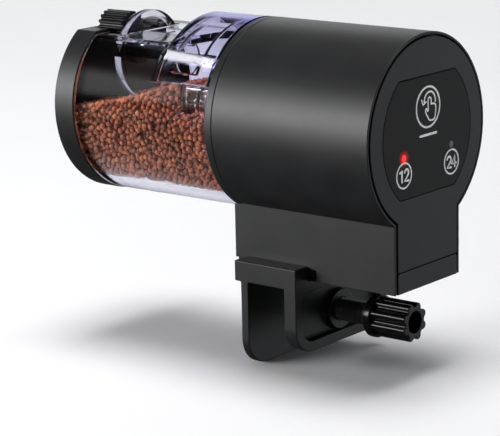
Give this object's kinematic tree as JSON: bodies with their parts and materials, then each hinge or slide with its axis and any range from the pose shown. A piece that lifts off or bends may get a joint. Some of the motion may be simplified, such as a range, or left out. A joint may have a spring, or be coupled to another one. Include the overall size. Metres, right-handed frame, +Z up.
{
  "type": "automatic fish feeder",
  "caption": "Battery-driven fish feeder: round housing with a touch panel, clear turning food drum with dose regulator and fill door, and a screw clamp for a tank rim",
  "frame": {"origin": "centre of the clamp saddle's underside, midway between the two legs, where the tank rim seats", "axes": "+X along the drum axis towards the control panel (out of the tank), +Y across the clamp, +Z up"},
  "size_m": [0.1329, 0.065, 0.1134],
  "materials": {
    "black_plastic": "satin fine-textured ABS",
    "gloss_black": "gloss black",
    "clear_plastic": "clear moulded styrene, faint violet cast",
    "food": "dry red-brown pellets",
    "steel": "bright zinc plate",
    "brass": "turned",
    "nylon": "natural acetal",
    "board_green": "solder mask",
    "cell_sleeve": "printed sleeve, plain",
    "lead_insulation": "flexible PVC",
    "lamp_red": "lit red lens",
    "lamp_grey": "unlit smoked lens",
    "led_body": "white package"
  },
  "bodies": {
    "clamp": {"clamp_bracket": "black_plastic"},
    "pad": {"clamp_pad": "black_plastic"},
    "screw": {"clamp_screw": "gloss_black", "clamp_knob": "gloss_black"},
    "housing": {"housing_shell": "black_plastic", "rear_cover": "black_plastic", "rear_cover_screws": "steel", "front_cover": "black_plastic", "touch_panel": "gloss_black", "led_lens_12h": "lamp_red", "led_lens_24h": "lamp_grey", "battery_left": "cell_sleeve", "battery_right": "cell_sleeve", "battery_springs": "steel", "battery_contacts": "steel", "battery_leads": "lead_insulation", "gearbox_plate": "nylon", "gearbox_screws": "steel", "gear_axles": "steel", "output_bush": "brass", "motor": "steel", "motor_leads": "lead_insulation", "position_sensor": "gloss_black", "control_board": "board_green", "board_chips": "gloss_black", "board_screws": "steel", "indicator_leds": "led_body", "touch_springs": "steel"},
    "battery_tray": {"battery_door": "black_plastic"},
    "pinion": {"motor_pinion": "brass"},
    "first_idler": {"first_gear": "nylon"},
    "second_idler": {"second_gear": "nylon"},
    "drive": {"drive_hub": "black_plastic", "output_gear": "nylon", "position_magnet": "steel"},
    "drum": {"drum": "clear_plastic", "end_cap": "black_plastic", "food_pellets": "food"},
    "door": {"fill_door": "clear_plastic"},
    "regulator": {"regulator_grip": "gloss_black", "regulator_shaft": "gloss_black", "dosing_gate": "clear_plastic"}
  },
  "joints": [
    {"name": "pad_travel", "type": "slide", "parent": "clamp", "child": "pad", "axis": [-1, 0, 0], "range_m": [-0.0063, 0.00525]},
    {"name": "screw_turn", "type": "hinge", "parent": "pad", "child": "screw", "pos_m": [0.03, 0, -0.0114], "axis": [-1, 0, 0], "range_deg": [-1891, 1576]},
    {"name": "bracket_slide", "type": "slide", "parent": "clamp", "child": "housing", "axis": [1, 0, 0], "range_m": [-0.003, 0.024]},
    {"name": "battery_tray_slide", "type": "slide", "parent": "housing", "child": "battery_tray", "axis": [1, 0, 0], "range_m": [0, 0.055]},
    {"name": "drum_spin", "type": "hinge", "parent": "housing", "child": "drive", "pos_m": [0, 0, 0.0517], "axis": [1, 0, 0], "continuous": true},
    {"name": "second_gear_spin", "type": "hinge", "parent": "housing", "child": "second_idler", "pos_m": [0, 0.00725, 0.06426], "axis": [1, 0, 0], "continuous": true},
    {"name": "first_gear_spin", "type": "hinge", "parent": "housing", "child": "first_idler", "pos_m": [0, -0.0045, 0.06853], "axis": [1, 0, 0], "continuous": true},
    {"name": "motor_spin", "type": "hinge", "parent": "housing", "child": "pinion", "pos_m": [0, -0.01474, 0.06136], "axis": [1, 0, 0], "continuous": true},
    {"name": "drum_pull", "type": "slide", "parent": "drive", "child": "drum", "axis": [-1, 0, 0], "range_m": [0, 0.02]},
    {"name": "fill_door_slide", "type": "hinge", "parent": "drum", "child": "door", "pos_m": [-0.03, 0, 0.0517], "axis": [-1, 0, 0], "range_deg": [0, 75]},
    {"name": "regulator_turn", "type": "hinge", "parent": "drum", "child": "regulator", "pos_m": [-0.0775, 0, 0.0675], "axis": [-1, 0, 0], "range_deg": [0, 62]}
  ],
  "couplings": [
    {"joint": "screw_turn", "follows": "pad_travel", "rad_per_m": 5236},
    {"joint": "second_gear_spin", "follows": "drum_spin", "ratio": -4.8},
    {"joint": "first_gear_spin", "follows": "drum_spin", "ratio": 19.2},
    {"joint": "motor_spin", "follows": "drum_spin", "ratio": -76.8}
  ]
}
